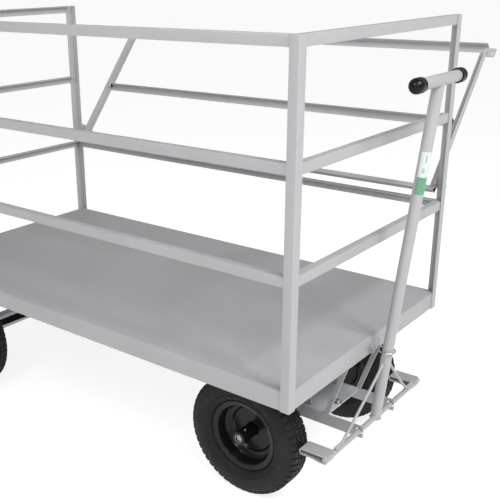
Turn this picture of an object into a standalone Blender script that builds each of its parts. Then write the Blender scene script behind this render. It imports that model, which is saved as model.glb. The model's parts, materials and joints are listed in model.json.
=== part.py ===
"""Plant trolley: a steel platform on four pneumatic wheels, with a cage of angle rails,
a side gate that folds outwards, and a fore-carriage steered by an upright drawbar.
Metres. +X is forwards (drawbar end), +Y is the gate side, +Z is up, the ground is z = 0."""

import math

import bmesh
import bpy
from mathutils import Matrix, Vector

# platform and cage
LENGTH = 1.816
WIDTH = 0.960
DECK_TOP = 0.500
DECK_BOTTOM = 0.439
DECK_SHEET = 0.0025
DECK_LIP = 0.018
CAGE_TOP = 1.443
ANGLE = 0.030
ANGLE_T = 0.003
BEND_R = 0.0025
RAIL_DEPTH = 0.025
RAIL_TOPS = {"top": 1.443, "mid": 1.134, "lower": 0.834}
GAP = 0.0003
HX = LENGTH / 2
HY = WIDTH / 2
IN_X = HX - ANGLE_T - GAP  # faces that sit against the inside of the posts
IN_Y = HY - ANGLE_T - GAP

# wheels: 400 x 100 pneumatic tyres on 8 inch steel rims
TYRE_R = 0.200
FRONT_AXLE_X = HX - 0.263
REAR_AXLE_X = HX - 1.585
FRONT_WHEEL_Y = 0.2975
REAR_WHEEL_Y = 0.400
STUB_R = 0.010
RUN_CLEAR = 0.0001
SEGMENTS = 28
HUB_OUT = 0.054
HUB_IN = 0.038
STUB_SHORT = 0.004  # how far each stub ends inside its hub

# gate, drawn shut and then leaned out about its two pivots
GATE_LEAN = math.radians(39.6)
GATE_Y = HY
GATE_BOTTOM, GATE_TOP, GATE_MID_TOP = 0.838, 1.429, 1.121
GATE_FRONT, GATE_REAR = HX - 0.0315, HX - 1.750
GATE_ANGLE = 0.025
PIVOT_Y, PIVOT_Z = HY + 0.018, 0.875
PIN_R = 0.004
PLATE_T = 0.004
HINGE_X = {"front": HX - 0.018, "rear": HX - 1.791}  # each plate's rear face

# drawbar
CROSSBAR_X, CROSSBAR_Z, CROSSBAR_R = HX + 0.027, 0.220, 0.0085
CROSSBAR_HALF = 0.320
BAR_LEAN = math.radians(6.14)
BAR_R = 0.017
BAR_WALL = 0.0026
HANDLE_Z = 1.298
HANDLE_HALF = 0.1407
CAP_R = 0.0215
CAP_SLEEVE = 0.0225
SHOE_W, SHOE_T = 0.052, 0.004
BRACE_R = 0.0045
TOW_Y, TOW_T = 0.107, 0.006
TOW_TIP = HX + 0.040
TOW_BOTTOM, TOW_TOP = 0.199, 0.239

# turntable and keeper
PLATE_Z = 0.430
CARRIER_Z = 0.462
WIRE_R = 0.0025

HANDLE_X = CROSSBAR_X + (HANDLE_Z - CROSSBAR_Z) * math.tan(BAR_LEAN)
HEEL = 0.29 * BEND_R  # how far a folded angle's rounded heel falls short of its sharp corner
GATE_REACH = (GATE_TOP - HEEL - PIVOT_Z) * math.sin(GATE_LEAN)
GATE_REACH -= (PIVOT_Y - GATE_Y + HEEL) * math.cos(GATE_LEAN)
BOX_X = (-HX, HANDLE_X + CAP_R)
BOX_Y = (-HY, PIVOT_Y + GATE_REACH)
SHIFT = (-(BOX_X[0] + BOX_X[1]) / 2, -(BOX_Y[0] + BOX_Y[1]) / 2, 0.0)

for old in list(bpy.data.objects):
    bpy.data.objects.remove(old, do_unlink=True)

PAINT = ((0.50, 0.50, 0.53, 1.0), 0.0, 0.42)
DARK_STEEL = ((0.16, 0.17, 0.19, 1.0), 0.6, 0.45)
BLACK_PAINT = ((0.010, 0.010, 0.011, 1.0), 0.0, 0.25)
RUBBER = ((0.020, 0.020, 0.022, 1.0), 0.0, 0.80)
PLASTIC = ((0.008, 0.008, 0.008, 1.0), 0.0, 0.30)
ZINC = ((0.55, 0.56, 0.58, 1.0), 0.9, 0.35)


def axis_empty(name, at, parent=None, turn=0.0):
    """An empty on a joint axis; turn rotates it about X."""
    empty = bpy.data.objects.new(name, None)
    bpy.context.scene.collection.objects.link(empty)
    empty.matrix_world = Matrix.Translation(at) @ Matrix.Rotation(turn, 4, "X")
    if parent:
        empty.parent = parent
        empty.matrix_parent_inverse = Matrix.Translation(parent["at"]).inverted()
    empty["at"] = at
    return empty


def add(name, verts, faces, look, pivot=None):
    """A closed mesh given in the trolley's own coordinates, hung on a joint's empty."""
    at = Vector(pivot["at"]) if pivot else Vector((0, 0, 0))
    mesh = bpy.data.meshes.new(name)
    mesh.from_pydata([Vector(v) - at for v in verts], [], faces)
    work = bmesh.new()
    work.from_mesh(mesh)
    bmesh.ops.recalc_face_normals(work, faces=work.faces)
    work.to_mesh(mesh)
    work.free()
    colour, metal, rough = look
    material = bpy.data.materials.new(name)
    material.use_nodes = True
    shader = material.node_tree.nodes["Principled BSDF"]
    shader.inputs["Base Color"].default_value = colour
    shader.inputs["Metallic"].default_value = metal
    shader.inputs["Roughness"].default_value = rough
    mesh.materials.append(material)
    obj = bpy.data.objects.new(name, mesh)
    bpy.context.scene.collection.objects.link(obj)
    if pivot:
        obj.parent = pivot
    return obj


def prism(axis, start, end, points):
    """Verts and faces of a polygon swept along an axis; points hold the other two coordinates."""
    order = {"x": (1, 2), "y": (0, 2), "z": (0, 1)}[axis]
    along = "xyz".index(axis)
    verts = []
    for value in (start, end):
        for p in points:
            v = [0.0, 0.0, 0.0]
            v[along], v[order[0]], v[order[1]] = value, p[0], p[1]
            verts.append(v)
    n = len(points)
    faces = [list(range(n)), list(range(n, 2 * n))]
    faces += [[i, (i + 1) % n, n + (i + 1) % n, n + i] for i in range(n)]
    return verts, faces


def block(low, high):
    (x0, y0, z0), (x1, y1, z1) = low, high
    return prism("z", z0, z1, [(x0, y0), (x1, y0), (x1, y1), (x0, y1)])


def angle_outline(heel, ways, legs, thick=ANGLE_T, bend=BEND_R):
    """The L outline of a folded angle: heel corner, the way each leg runs, and the legs' lengths."""
    points = [(bend, 0.0), (bend * 0.29, bend * 0.29), (0.0, bend)]
    points += [(0.0, legs[1]), (thick, legs[1]), (thick, thick), (legs[0], thick), (legs[0], 0.0)]
    return [(heel[0] + ways[0] * p, heel[1] + ways[1] * q) for p, q in points]


def lathe(axis, centre, profile, side=1, segments=SEGMENTS):
    """Verts and faces of a closed (radius, along) outline turned about an axis through centre."""
    a = "xyz".index(axis)
    b, c = [(1, 2), (0, 2), (0, 1)][a]
    verts, rings, faces = [], [], []
    for r, along in profile:
        ring = []
        for k in range(1 if r == 0 else segments):
            t = 2 * math.pi * k / segments - math.pi / 2
            v = list(centre)
            v[a] += side * along
            v[b] += r * math.cos(t)
            v[c] += r * math.sin(t)
            ring.append(len(verts))
            verts.append(v)
        rings.append(ring)
    for i, first in enumerate(rings):
        second = rings[(i + 1) % len(rings)]
        for k in range(segments):
            m = (k + 1) % segments
            quad = [first[k % len(first)], first[m % len(first)]]
            quad += [second[m % len(second)], second[k % len(second)]]
            face = list(dict.fromkeys(quad))
            if len(face) > 2:
                faces.append(face)
    return verts, faces


def bore(axis, centre, radius, start, stop, segments=24):
    """A plain round cutter along an axis, from start to stop past its centre."""
    return lathe(axis, centre, [(0, start), (radius, start), (radius, stop), (0, stop)], 1, segments)


def bands(rows, n):
    """The faces between stacked rings of n vertices each."""
    faces = []
    for i in range(rows - 1):
        a, b = i * n, (i + 1) * n
        faces += [[a + k, a + (k + 1) % n, b + (k + 1) % n, b + k] for k in range(n)]
    return faces


def tube_path(points, radius, segments=12):
    """Verts and faces of a round wire along a bent path."""
    points = [Vector(p) for p in points]
    lines = [(b - a).normalized() for a, b in zip(points, points[1:])]
    side = lines[0].orthogonal().normalized()
    verts = []
    for i, p in enumerate(points):
        before, after = lines[max(i - 1, 0)], lines[min(i, len(lines) - 1)]
        normal = (before + after).normalized()
        if i:
            side = lines[i - 1].cross(side).cross(lines[i - 1]).normalized()
        up = before.cross(side)
        for k in range(segments):
            t = 2 * math.pi * k / segments
            v = side * (radius * math.cos(t)) + up * (radius * math.sin(t))
            v -= before * (v.dot(normal) / before.dot(normal))
            verts.append(p + v)
    faces = [list(range(segments)), list(range(len(verts) - segments, len(verts)))]
    return verts, faces + bands(len(points), segments)


def loops(rows):
    """Verts and faces of stacked rectangles (half x, half y, z), capped at both ends."""
    verts = []
    for x, y, z in rows:
        verts += [(-x, -y, z), (x, -y, z), (x, y, z), (-x, y, z)]
    faces = [[0, 1, 2, 3], list(range(len(verts) - 4, len(verts)))]
    return verts, faces + bands(len(rows), 4)


def boolean(obj, shape, operation, tag, pivot=None):
    """Cuts a shape out of an object, or adds it, by way of a hidden helper solid."""
    helper = add(obj.name + "_" + tag, *shape, ZINC, pivot)
    helper.hide_render = True
    helper.display_type = "WIRE"
    step = obj.modifiers.new(tag, "BOOLEAN")
    step.operation = operation
    step.solver = "EXACT"
    step.object = helper


# ---- platform, posts and rails ----

def build_deck():
    bend = 0.004
    rows = [
        (IN_X - DECK_SHEET, IN_Y - DECK_SHEET, DECK_TOP - DECK_SHEET),
        (IN_X - DECK_SHEET, IN_Y - DECK_SHEET, DECK_BOTTOM + DECK_SHEET),
        (IN_X - DECK_LIP, IN_Y - DECK_LIP, DECK_BOTTOM + DECK_SHEET),
        (IN_X - DECK_LIP, IN_Y - DECK_LIP, DECK_BOTTOM),
        (IN_X, IN_Y, DECK_BOTTOM),
        (IN_X, IN_Y, DECK_TOP - bend),
        (IN_X - 0.3 * bend, IN_Y - 0.3 * bend, DECK_TOP - 0.3 * bend),
        (IN_X - bend, IN_Y - bend, DECK_TOP),
    ]
    add("deck", *loops(rows), PAINT, root)


def build_cage():
    for end, sx in (("front", 1), ("rear", -1)):
        for side, sy in (("near", -1), ("far", 1)):
            outline = angle_outline((sx * HX, sy * HY), (-sx, -sy), (ANGLE, ANGLE))
            add(f"post_{end}_{side}", *prism("z", DECK_BOTTOM, CAGE_TOP, outline), PAINT, root)
    for level, top in RAIL_TOPS.items():
        reach = IN_X - ANGLE_T - GAP
        outline = angle_outline((-IN_Y, top), (1, -1), (RAIL_DEPTH, ANGLE))
        add(f"rail_near_{level}", *prism("x", -reach, reach, outline), PAINT, root)
        reach = IN_Y - RAIL_DEPTH - GAP
        for end, sx in (("front", 1), ("rear", -1)):
            outline = angle_outline((sx * IN_X, top), (-sx, -1), (RAIL_DEPTH, ANGLE))
            add(f"rail_{end}_{level}", *prism("y", -reach, reach, outline), PAINT, root)
    reach = IN_X - ANGLE_T - GAP
    outline = angle_outline((IN_Y, RAIL_TOPS["lower"]), (-1, -1), (RAIL_DEPTH, ANGLE))
    add("rail_far_lower", *prism("x", -reach, reach, outline), PAINT, root)


def build_hinge_plates():
    inner, outer = HY + GAP, PIVOT_Y + 0.014
    outline = [(inner, 0.838), (outer - 0.008, 0.842), (outer, 0.852)]
    outline += [(outer, 0.892), (outer - 0.010, 0.903), (inner, 0.912)]
    for end, x in HINGE_X.items():
        plate = add(f"hinge_plate_{end}", *prism("x", x, x + PLATE_T, outline), PAINT, root)
        hole = bore("x", (x, PIVOT_Y, PIVOT_Z), PIN_R + RUN_CLEAR, -0.01, 0.02)
        boolean(plate, hole, "DIFFERENCE", "hole", root)


# ---- underframe and rear axle ----

def build_underframe():
    x0, x1 = FRONT_AXLE_X - 0.16, FRONT_AXLE_X + 0.16
    top, low, t = DECK_TOP - DECK_SHEET - GAP, CARRIER_Z, 0.004
    outline = [(x0, top), (x0, low), (x1, low), (x1, top)]
    outline += [(x1 - t, top), (x1 - t, low + t), (x0 + t, low + t), (x0 + t, top)]
    add("turntable_carrier", *prism("y", -0.455, 0.455, outline), DARK_STEEL, root)
    at = (FRONT_AXLE_X, 0, 0)
    ring = [(0.112, 0.4518), (0.150, 0.4518), (0.150, low - GAP), (0.112, low - GAP)]
    add("turntable_upper_ring", *lathe("z", at, ring), DARK_STEEL, root)
    pin = [(0, 0.412), (0.020, 0.412), (0.020, PLATE_Z - GAP)]
    pin += [(0.012, PLATE_Z - GAP), (0.012, low - GAP), (0, low - GAP)]
    add("kingpin", *lathe("z", at, pin), ZINC, root)


def axle(name, x, half, stub_end, look, pivot):
    """A channel open below, with a block in each end that carries the wheel's round stub."""
    t, low = 0.004, 0.180
    back, front, roof = x - 0.020, x + 0.020, TOW_TOP - t
    outline = [(back, low), (back, TOW_TOP), (front, TOW_TOP), (front, low)]
    outline += [(front - t, low), (front - t, roof), (back + t, roof), (back + t, low)]
    beam = add(name, *prism("y", -half, half, outline), look, pivot)
    for side, sy in (("near", -1), ("far", 1)):
        y0, y1 = sorted((sy * (half - 0.060), sy * (half - 0.001)))
        plug = block((x - 0.018, y0, low + 0.006), (x + 0.018, y1, TOW_TOP - 0.002))
        boolean(beam, plug, "UNION", side + "_block", pivot)
        stub = [(0, half - 0.01), (STUB_R, half - 0.01), (STUB_R, stub_end), (0, stub_end)]
        boolean(beam, lathe("y", (x, 0, TYRE_R), stub, sy), "UNION", side + "_stub", pivot)


def build_rear_axle():
    x = REAR_AXLE_X
    axle("rear_axle", x, 0.345, REAR_WHEEL_Y + HUB_OUT - STUB_SHORT, DARK_STEEL, root)
    top = DECK_TOP - DECK_SHEET - GAP
    for side, sy in (("near", -1), ("far", 1)):
        y = sy * 0.303
        foot = TOW_TOP + GAP
        outline = [(x - 0.045, foot), (x + 0.045, foot), (x + 0.110, top), (x - 0.110, top)]
        add(f"rear_bracket_{side}", *prism("y", y - 0.003, y + 0.003, outline), DARK_STEEL, root)
        y = sy * 0.285
        drop = 0.029
        outline = [(x + 0.0205, 0.195), (x + 0.0205, 0.195 + drop), (x + 0.545, top), (x + 0.605, top)]
        add(f"rear_brace_{side}", *prism("y", y - 0.003, y + 0.003, outline), BLACK_PAINT, root)


# ---- fore-carriage ----

def build_fore_carriage():
    x = FRONT_AXLE_X
    axle("front_axle", x, 0.245, FRONT_WHEEL_Y + HUB_OUT - STUB_SHORT, DARK_STEEL, steer)
    base = 0.0062
    beam_front = x + 0.020 + GAP
    reach = TOW_Y - TOW_T / 2 - GAP
    plate = block((beam_front, -reach, TOW_TOP - base), (HX - 0.088, reach, TOW_TOP))
    add("base_plate", *plate, DARK_STEEL, steer)
    web, low = 0.090, TOW_TOP + GAP
    outline = [(-0.135, PLATE_Z + 0.006), (-0.135, PLATE_Z), (-web, PLATE_Z)]
    outline += [(-web, low), (-web + 0.006, low), (-web + 0.006, PLATE_Z)]
    outline += [(-y, z) for y, z in reversed(outline)]
    bolster = add("bolster", *prism("x", x - 0.105, x + 0.105, outline), DARK_STEEL, steer)
    tongue = block((x + 0.100, -0.130, PLATE_Z), (HX - 0.012, 0.130, PLATE_Z + 0.006))
    boolean(bolster, tongue, "UNION", "tongue", steer)
    hole = bore("z", (x, 0, 0), 0.012 + RUN_CLEAR, 0.420, 0.445, SEGMENTS)
    boolean(bolster, hole, "DIFFERENCE", "hole", steer)
    seat = PLATE_Z + 0.006 + GAP
    ring = [(0.112, seat), (0.150, seat), (0.150, 0.4512), (0.112, 0.4512)]
    add("turntable_lower_ring", *lathe("z", (x, 0, 0), ring), DARK_STEEL, steer)
    for side, sy in (("near", -1), ("far", 1)):
        y0, y1 = sorted((sy * (TOW_Y - TOW_T / 2), sy * (TOW_Y + TOW_T / 2)))
        shape = block((beam_front, y0, TOW_BOTTOM), (TOW_TIP, y1, TOW_TOP))
        bar = add(f"tow_bar_{side}", *shape, PAINT, steer)
        eye = CROSSBAR_R + RUN_CLEAR
        hole = bore("y", (CROSSBAR_X, 0, CROSSBAR_Z), eye, y0 - 0.01, y1 + 0.01, SEGMENTS)
        boolean(bar, hole, "DIFFERENCE", "hole", steer)
        foot, head, w = HX - 0.0920, HX - 0.0272, 0.0085
        low, top = TOW_TOP + GAP, PLATE_Z - GAP
        outline = [(foot - w, low), (foot + w, low), (head + w, top), (head - w, top)]
        add(f"strut_{side}", *prism("y", y0, y1, outline), PAINT, steer)


# ---- drawbar ----

def leaned(shape):
    """Moves a shape drawn straight up from the crossbar's axis into the leaning drawbar's place."""
    place = Matrix.Translation((CROSSBAR_X, 0, CROSSBAR_Z)) @ Matrix.Rotation(BAR_LEAN, 4, "Y")
    return [place @ Vector(v) for v in shape[0]], shape[1]


def coped_tube(radius, wall, foot_r, head_z, head_r, segments=32):
    """An upright tube whose ends wrap a bar at the origin and one at head_z, both along Y."""
    verts, faces, n = [], [], segments
    for top in (False, True):
        for r in (radius, radius - wall):
            for k in range(n):
                x, y = (r * f(2 * math.pi * k / n) for f in (math.cos, math.sin))
                dip = math.sqrt(max(0.0, (head_r if top else foot_r) ** 2 - x * x))
                verts.append((x, y, head_z - dip if top else dip))
    for a, b in ((0, 1), (1, 3), (3, 2), (2, 0)):
        faces += [[a * n + k, a * n + (k + 1) % n, b * n + (k + 1) % n, b * n + k] for k in range(n)]
    return verts, faces


def build_drawbar():
    reach = (HANDLE_Z - CROSSBAR_Z) / math.cos(BAR_LEAN)
    shape = coped_tube(BAR_R, BAR_WALL, CROSSBAR_R + 6 * GAP, reach, BAR_R + 3 * GAP)
    add("drawbar_tube", *leaned(shape), PAINT, tilt)
    inside = BAR_R - BAR_WALL
    grip = [(inside, -HANDLE_HALF), (BAR_R, -HANDLE_HALF)]
    grip += [(BAR_R, HANDLE_HALF), (inside, HANDLE_HALF)]
    add("handle_grip", *leaned(lathe("y", (0, 0, reach), grip)), PAINT, tilt)
    for side, sy in (("near", -1), ("far", 1)):
        seat = HANDLE_HALF + GAP
        turns = [math.pi / 2 * k / 6 for k in range(7)]
        cap = [(0, seat)] + [(CAP_R * math.sin(t), seat + CAP_R * math.cos(t)) for t in turns]
        cap += [(CAP_R - 0.001, seat - CAP_SLEEVE)]
        cap += [(BAR_R + GAP, seat - CAP_SLEEVE), (BAR_R + GAP, seat)]
        add(f"handle_cap_{side}", *leaned(lathe("y", (0, 0, reach), cap, sy)), PLASTIC, tilt)
        lift = CROSSBAR_R + BRACE_R + GAP
        path = [(0, sy * (BAR_R + 0.0010), 0.205), (0, sy * 0.212, lift + 0.003)]
        path += [(0, sy * 0.224, lift), (0, sy * 0.262, lift)]
        brace = add(f"brace_{side}", *leaned(tube_path(path, BRACE_R)), PAINT, tilt)
        cut = leaned(bore("z", (0, 0, 0), BAR_R + GAP, 0.1, 0.3, 32))
        boolean(brace, cut, "DIFFERENCE", "cope", tilt)
        build_shoe(side, sy)
    middle = (CROSSBAR_X, 0, CROSSBAR_Z)
    bar = bore("y", middle, CROSSBAR_R, -CROSSBAR_HALF, CROSSBAR_HALF, SEGMENTS)
    add("crossbar", *bar, PAINT, tilt)


def build_shoe(side, sy):
    """A strip bent back on itself: its nose faces the tyre and its two ends hold the crossbar."""
    over, under = CROSSBAR_R + GAP, -CROSSBAR_R - GAP
    nose, t = CROSSBAR_X - (HX - 0.0625), SHOE_T
    outer = [(0.004, over + t), (-0.060, over + t - 0.001)]
    rise, fall = over + t - 0.001, -0.0085
    middle, radius = (rise + fall) / 2, (rise - fall) / 2
    turns = [math.pi / 2 + math.pi * k / 8 for k in range(9)]
    outer += [(-nose + radius + radius * math.cos(a), middle + radius * math.sin(a)) for a in turns]
    outer += [(-0.045, fall), (-0.020, under - t), (0.004, under - t)]
    inner = [(0.004, under), (-0.019, under), (-0.044, fall + t)]
    tight = radius - t
    inner += [(-nose + radius + tight * math.cos(a), middle + tight * math.sin(a))
              for a in reversed(turns)]
    inner += [(-0.060, over - 0.001), (0.004, over)]
    outline = [(CROSSBAR_X + x, CROSSBAR_Z + z) for x, z in outer + inner]
    y0, y1 = sorted((sy * CROSSBAR_HALF, sy * (CROSSBAR_HALF - SHOE_W)))
    add(f"brake_shoe_{side}", *prism("y", y0, y1, outline), PAINT, tilt)


# ---- keeper ----

def build_keeper():
    x, z = HX + 0.007, 0.458
    face = IN_X + GAP
    outline = [(face, z - 0.012), (x + 0.003, z - 0.010), (x + 0.007, z - 0.004)]
    outline += [(x + 0.007, z + 0.004), (x + 0.003, z + 0.010), (face, z + 0.012)]
    lug = add("keeper_lug", *prism("y", -0.0145, -0.0105, outline), PAINT, root)
    hole = bore("y", (x, 0, z), WIRE_R + 2 * GAP, -0.03, 0.0, 16)
    boolean(lug, hole, "DIFFERENCE", "hole", root)
    path = [(0, -0.027, 0), (0, 0.001, 0), (0.001, 0.007, 0.0015), (0.005, 0.0115, 0.003)]
    path += [(0.011, 0.0115, 0.005), (0.0145, 0.006, 0.006)]
    path += [(0.022, -0.013, 0.006), (0.028, -0.0205, 0.006)]
    turns = [-math.pi / 2 - 0.35 + (math.pi * 1.22) * k / 12 for k in range(13)]
    path += [(0.0455 + 0.0235 * math.cos(a), 0.0235 * math.sin(a), 0.006) for a in turns]
    path += [(0.021, 0.0125, 0.0085), (0.016, 0.001, 0.0155)]
    path += [(0.0145, -0.0025, 0.024), (0.0145, -0.0035, 0.040)]
    add("keeper_hook", *tube_path([(x + a, b, z + c) for a, b, c in path], WIRE_R, 10), ZINC, hook)


# ---- gate ----

def build_gate():
    a = GATE_ANGLE
    for level, heel, way in (("top", GATE_TOP, -1), ("bottom", GATE_BOTTOM, 1)):
        outline = angle_outline((GATE_Y, heel), (-1, way), (a, a))
        add(f"gate_rail_{level}", *prism("x", GATE_REAR, GATE_FRONT, outline), PAINT, gate)
    outline = angle_outline((GATE_Y, GATE_MID_TOP), (-1, -1), (a, a))
    add("gate_rail_mid", *prism("x", GATE_REAR + a + GAP, GATE_FRONT - a - GAP, outline), PAINT, gate)
    for end, x, way in (("front", GATE_FRONT, -1), ("rear", GATE_REAR, 1)):
        outline = angle_outline((x, GATE_Y), (way, -1), (a, a))
        upright = prism("z", GATE_BOTTOM + a + GAP, GATE_TOP - a - GAP, outline)
        bar = add(f"gate_bar_{end}", *upright, PAINT, gate)
        y, z, r = PIVOT_Y, PIVOT_Z, 0.013
        ear = [(GATE_Y - 0.002, z - 0.0112), (y, z - r), (y + 0.009, z - 0.009), (y + r, z)]
        ear += [(y + 0.009, z + 0.009), (y, z + r), (GATE_Y - 0.002, z + 0.030)]
        boolean(bar, prism("x", *sorted((x, x + way * PLATE_T)), ear), "UNION", "ear", gate)
        hole = bore("x", (x, y, z), PIN_R + GAP, -0.02, 0.02)
        boolean(bar, hole, "DIFFERENCE", "hole", gate)
        plate = HINGE_X[end] + (PLATE_T if end == "front" else 0)
        build_pin(end, x + way * PLATE_T, plate, way)
        if end == "front":
            tip, top, seam = HX - 0.004, 1.4245, GATE_TOP - a - GAP
            low, face, high = GATE_Y - 0.001, GATE_Y + GAP, GATE_Y + GAP + PLATE_T
            root_pad = [(x - 0.022, low), (x, low), (x, high), (x - 0.022, high)]
            boolean(bar, prism("z", top - 0.034, seam - 0.001, root_pad), "UNION", "pad", gate)
            lug = [(x - 0.022, face), (tip, face), (tip, high), (x - 0.022, high)]
            boolean(bar, prism("z", top - 0.034, top, lug), "UNION", "lug", gate)


def build_pin(end, inside, outside, way):
    """A bolt along X: nut inside the gate bar's ear, shank through the plate, head outside it."""
    start, stop = inside + way * GAP, outside - way * GAP
    profile = [(0, start + way * 0.005), (0.0065, start + way * 0.005), (0.0065, start), (PIN_R, start)]
    profile += [(PIN_R, stop), (0.0065, stop), (0.0065, stop - way * 0.005), (0, stop - way * 0.005)]
    add(f"gate_pin_{end}", *lathe("x", (0, PIVOT_Y, PIVOT_Z), profile, 1, 24), ZINC, gate)


# ---- wheels ----

def build_wheel(name, x, y, pivot):
    side = -1 if y < 0 else 1
    half = [(0.1195, 0.0296), (0.1220, 0.0350), (0.138, 0.0470), (0.155, 0.0500)]
    half += [(0.172, 0.0483), (0.190, 0.0430), (0.1978, 0.0395), (TYRE_R, 0.0330)]
    hollow = [(0.1040, 0.0150), (0.1150, 0.0180), (0.1300, 0.0395)]
    hollow += [(0.1550, 0.0430), (0.1780, 0.0380), (0.1880, 0.0240)]
    outer = [(0.1040, 0.0265)] + half
    tyre = outer + [(r, -o) for r, o in reversed(outer)] + [(r, -o) for r, o in hollow] + hollow[::-1]
    add(f"tyre_{name}", *lathe("y", (x, y, TYRE_R), tyre, side), RUBBER, pivot)
    run, hub = STUB_R + RUN_CLEAR, 0.0225
    flange = [(0.1000, 0.0285), (0.1170, 0.0330), (0.1190, 0.0320), (0.1190, 0.0300), (0.1030, 0.0265)]
    rim = [(run, HUB_OUT), (hub, HUB_OUT), (hub, -0.0265), (0.0725, -0.0265), (0.0790, -0.0180)]
    rim += [(0.0900, -0.0160), (0.0975, -0.0100), (0.1000, -0.0040)] + flange
    rim += [(r, -o) for r, o in reversed(flange)]
    rim += [(0.1000, -0.0150), (0.0905, -0.0188), (0.0810, -0.0207), (0.0745, -0.0293)]
    rim += [(hub, -0.0293), (hub, -HUB_IN), (run, -HUB_IN)]
    add(f"rim_{name}", *lathe("y", (x, y, TYRE_R), rim, side), BLACK_PAINT, pivot)


root = axis_empty("trolley", (0.0, 0.0, 0.0))
steer = axis_empty("steer_axis", (FRONT_AXLE_X, 0.0, PLATE_Z), root)
tilt = axis_empty("drawbar_axis", (CROSSBAR_X, 0.0, CROSSBAR_Z), steer)
hook = axis_empty("keeper_axis", (HX + 0.007, -0.0125, 0.458), root)
gate = axis_empty("gate_axis", ((GATE_FRONT + GATE_REAR) / 2, PIVOT_Y, PIVOT_Z), root, -GATE_LEAN)
build_deck()
build_cage()
build_hinge_plates()
build_underframe()
build_rear_axle()
build_fore_carriage()
build_drawbar()
build_keeper()
build_gate()
axles = (("front", FRONT_AXLE_X, FRONT_WHEEL_Y, steer), ("rear", REAR_AXLE_X, REAR_WHEEL_Y, root))
for end, x, y, carrier in axles:
    for side, sy in (("near", -1), ("far", 1)):
        spin = axis_empty(f"wheel_axis_{end}_{side}", (x, sy * y, TYRE_R), carrier)
        build_wheel(f"{end}_{side}", x, sy * y, spin)
root.location = SHIFT
bpy.context.view_layer.update()
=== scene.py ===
import json
from math import atan2, cos, exp, pi, radians, sin, sqrt, tan

import bmesh
import bpy
from mathutils import Matrix, Vector
from mathutils.geometry import tessellate_polygon


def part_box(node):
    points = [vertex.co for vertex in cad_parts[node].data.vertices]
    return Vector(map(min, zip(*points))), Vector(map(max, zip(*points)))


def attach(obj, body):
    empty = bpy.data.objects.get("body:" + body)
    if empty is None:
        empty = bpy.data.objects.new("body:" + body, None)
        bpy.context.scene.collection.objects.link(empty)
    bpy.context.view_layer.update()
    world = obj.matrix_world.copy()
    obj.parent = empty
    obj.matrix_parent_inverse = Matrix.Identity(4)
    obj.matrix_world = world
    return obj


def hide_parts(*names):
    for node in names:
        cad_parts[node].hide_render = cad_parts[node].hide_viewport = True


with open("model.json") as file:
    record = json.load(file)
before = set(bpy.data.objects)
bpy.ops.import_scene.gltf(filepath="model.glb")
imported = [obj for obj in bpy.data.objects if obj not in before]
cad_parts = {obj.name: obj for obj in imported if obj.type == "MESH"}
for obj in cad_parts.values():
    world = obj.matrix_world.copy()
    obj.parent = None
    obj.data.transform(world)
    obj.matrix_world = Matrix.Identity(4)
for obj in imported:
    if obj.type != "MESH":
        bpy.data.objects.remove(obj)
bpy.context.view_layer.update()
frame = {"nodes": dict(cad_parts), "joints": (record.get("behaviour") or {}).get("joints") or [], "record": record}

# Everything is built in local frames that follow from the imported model: HOME has its origin on the ground
# under the platform's middle, GATE is the gate as if it were shut, DRAW has +Z along the leaning drawbar.

deck_low, deck_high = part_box("deck")
MIDDLE = (deck_low + deck_high) / 2
HOME = Matrix.Translation((MIDDLE.x, MIDDLE.y, 0.0))
JOINTS = {j["name"]: j for j in frame["joints"]}
GATE_LEAN = radians(JOINTS["gate_fold"]["range_deg"][1])
grip_low, grip_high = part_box("handle_grip")
TILT_AT = Vector(JOINTS["drawbar_tilt"]["pos_m"])
GRIP_AT = (grip_low + grip_high) / 2 - TILT_AT
BAR_LEAN = atan2(GRIP_AT.x, GRIP_AT.z)
GATE = Matrix.Translation(JOINTS["gate_fold"]["pos_m"]) @ Matrix.Rotation(-GATE_LEAN, 4, "X")
DRAW = Matrix.Translation(TILT_AT) @ Matrix.Rotation(BAR_LEAN, 4, "Y")

SHEEN = 0.0006       # width of the small rounding on cut steel edges
ANGLE_T = 0.003      # thickness of the folded angle
SMOOTH = radians(32)
FINE = 96            # segments round a large turned piece
TREAD_PITCHES = 52
PIVOT_HOLE = 0.0043  # radius of the holes that the gate's bolts pass through
SIDES = (("near", -1), ("far", 1))
STRUT_WIDE = 0.0170  # width of a strut's flat, measured along the trolley


# ---------------- shapes: (vertices, faces) in a local frame

def rounded(points, radii, steps=4):
    """A polygon with its corners rounded; radii is one number or one for each corner."""
    if not isinstance(radii, (list, tuple)):
        radii = [radii] * len(points)
    found = []
    for i, (p, radius) in enumerate(zip(points, radii)):
        corner = Vector(p)
        if radius <= 0:
            found.append(tuple(corner))
            continue
        back = Vector(points[i - 1]) - corner
        ahead = Vector(points[(i + 1) % len(points)]) - corner
        half = back.angle(ahead) / 2
        if half > radians(88.5):
            found.append(tuple(corner))
            continue
        run = min(radius / tan(half), 0.49 * back.length, 0.49 * ahead.length)
        radius = run * tan(half)
        back, ahead = back.normalized(), ahead.normalized()
        centre = corner + (back + ahead).normalized() * (radius / sin(half))
        first, last = corner + back * run - centre, corner + ahead * run - centre
        turn = first.angle(last)
        for k in range(steps + 1):
            t = k / steps
            arm = (first * sin((1 - t) * turn) + last * sin(t * turn)) / sin(turn)
            found.append(tuple(centre + arm))
    return found


def rectangle(x0, y0, x1, y1):
    return [(x0, y0), (x1, y0), (x1, y1), (x0, y1)]


def circle(x, y, radius, count=32):
    return [(x + radius * cos(2 * pi * k / count), y + radius * sin(2 * pi * k / count))
            for k in range(count)]


def lift(axis, value, point):
    """The 3-D point with the given value along an axis and the two others, in X, Y, Z order, from point."""
    a, b = point
    return {"x": (value, a, b), "y": (a, value, b), "z": (a, b, value)}[axis]


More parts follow.
